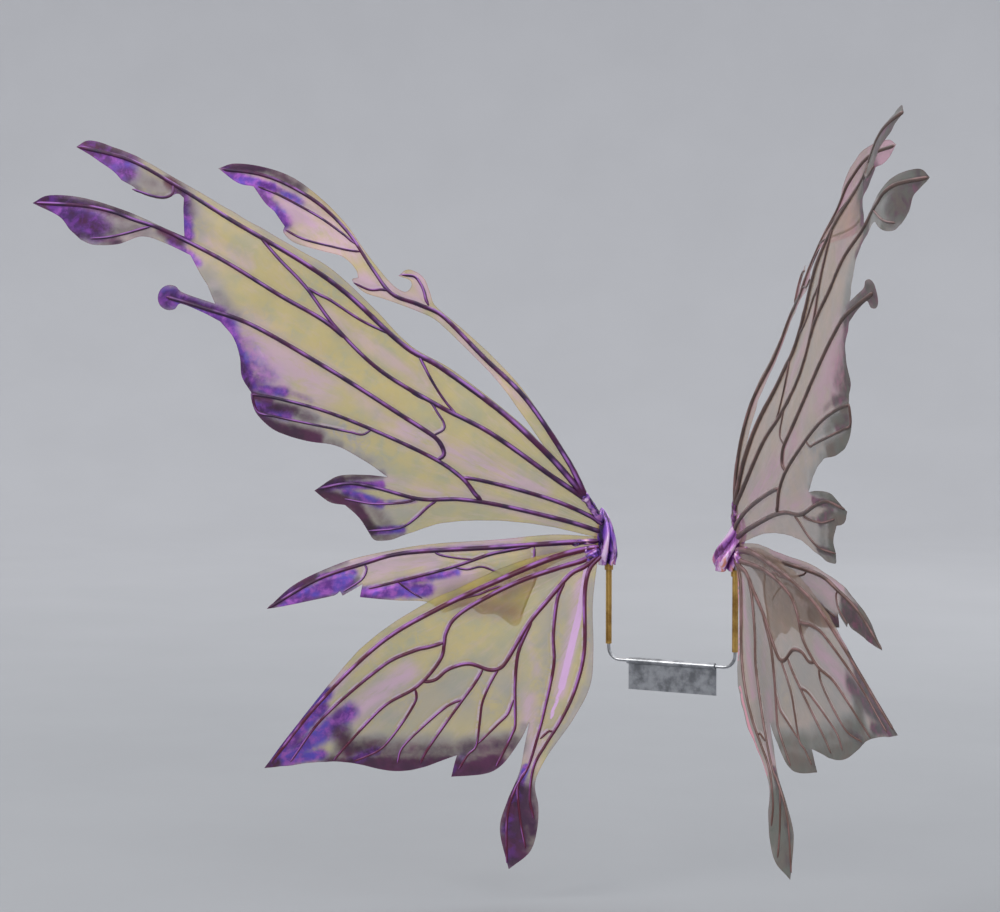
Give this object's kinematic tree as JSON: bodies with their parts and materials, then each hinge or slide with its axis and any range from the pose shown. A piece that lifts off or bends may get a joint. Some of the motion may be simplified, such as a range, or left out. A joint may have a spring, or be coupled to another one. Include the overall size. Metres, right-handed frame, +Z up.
{
  "type": "costume fairy wings",
  "caption": "Swept fairy wings: iridescent film panels on curling wire veins, each half on a plug-in stem carried by a tuck-in back yoke.",
  "frame": {"origin": "centre of the back plate's flat front face, which lies against the wearer's back", "axes": "+Z up, +Y forward into the wearer's back, +X to the wearer's right; the wings sweep back to -Y"},
  "size_m": [1.0108, 0.5299, 0.8269],
  "materials": {
    "film": "thin laminated iridescent film, olive gold with violet and plum painted tips",
    "vein": "dark plum gloss paint over wire, violet highlights",
    "wrap": "pleated iridescent film wrap, violet and pink",
    "steel": "drawn spring steel",
    "brass": "satin drawn brass"
  },
  "bodies": {
    "yoke": {"yoke": "steel", "back_plate": "steel", "left_socket": "brass", "right_socket": "brass"},
    "left_collar": {"left_collar": "brass"},
    "left_wing": {"left_film_fore": "film", "left_film_mid": "film", "left_root_knot": "wrap", "left_stem": "steel", "left_ferrule_fore": "brass", "left_spar_leading": "vein", "left_spar_streamer": "vein", "left_spar_lower": "vein", "left_wire_hook": "vein", "left_wire_median": "vein", "left_wire_finger": "vein", "left_wire_trailing": "vein", "left_wire_knob": "vein", "left_wire_inner": "vein", "left_wire_mid_upper": "vein", "left_wire_mid_lower": "vein"},
    "left_hindwing": {"left_film_hind": "film", "left_ferrule_hind": "brass", "left_wire_hind_front": "vein", "left_wire_hind_main": "vein", "left_wire_hind_fork": "vein", "left_wire_hind_centre": "vein", "left_wire_hind_drop": "vein", "left_wire_hind_inner": "vein", "left_wire_hind_streamer": "vein"},
    "right_collar": {"right_collar": "brass"},
    "right_wing": {"right_film_fore": "film", "right_film_mid": "film", "right_root_knot": "wrap", "right_stem": "steel", "right_ferrule_fore": "brass", "right_spar_leading": "vein", "right_spar_streamer": "vein", "right_spar_lower": "vein", "right_wire_hook": "vein", "right_wire_median": "vein", "right_wire_finger": "vein", "right_wire_trailing": "vein", "right_wire_knob": "vein", "right_wire_inner": "vein", "right_wire_mid_upper": "vein", "right_wire_mid_lower": "vein"},
    "right_hindwing": {"right_film_hind": "film", "right_ferrule_hind": "brass", "right_wire_hind_front": "vein", "right_wire_hind_main": "vein", "right_wire_hind_fork": "vein", "right_wire_hind_centre": "vein", "right_wire_hind_drop": "vein", "right_wire_hind_inner": "vein", "right_wire_hind_streamer": "vein"}
  },
  "joints": [
    {"name": "left_lift", "type": "slide", "parent": "yoke", "child": "left_collar", "axis": [0, 0, 1], "range_m": [0, 0.08]},
    {"name": "left_sweep", "type": "hinge", "parent": "left_collar", "child": "left_wing", "pos_m": [-0.081, -0.0039, 0.157], "axis": [0, 0, 1], "range_deg": [-36, 30]},
    {"name": "left_fan", "type": "hinge", "parent": "left_wing", "child": "left_hindwing", "pos_m": [-0.081, -0.0039, 0.157], "axis": [-0.7278, 0.6858, 0], "range_deg": [-4, 16]},
    {"name": "right_lift", "type": "slide", "parent": "yoke", "child": "right_collar", "axis": [0, 0, 1], "range_m": [0, 0.08]},
    {"name": "right_sweep", "type": "hinge", "parent": "right_collar", "child": "right_wing", "pos_m": [0.081, -0.0039, 0.157], "axis": [0, 0, -1], "range_deg": [-36, 30]},
    {"name": "right_fan", "type": "hinge", "parent": "right_wing", "child": "right_hindwing", "pos_m": [0.081, -0.0039, 0.157], "axis": [-0.7278, -0.6858, 0], "range_deg": [-16, 4]}
  ]
}
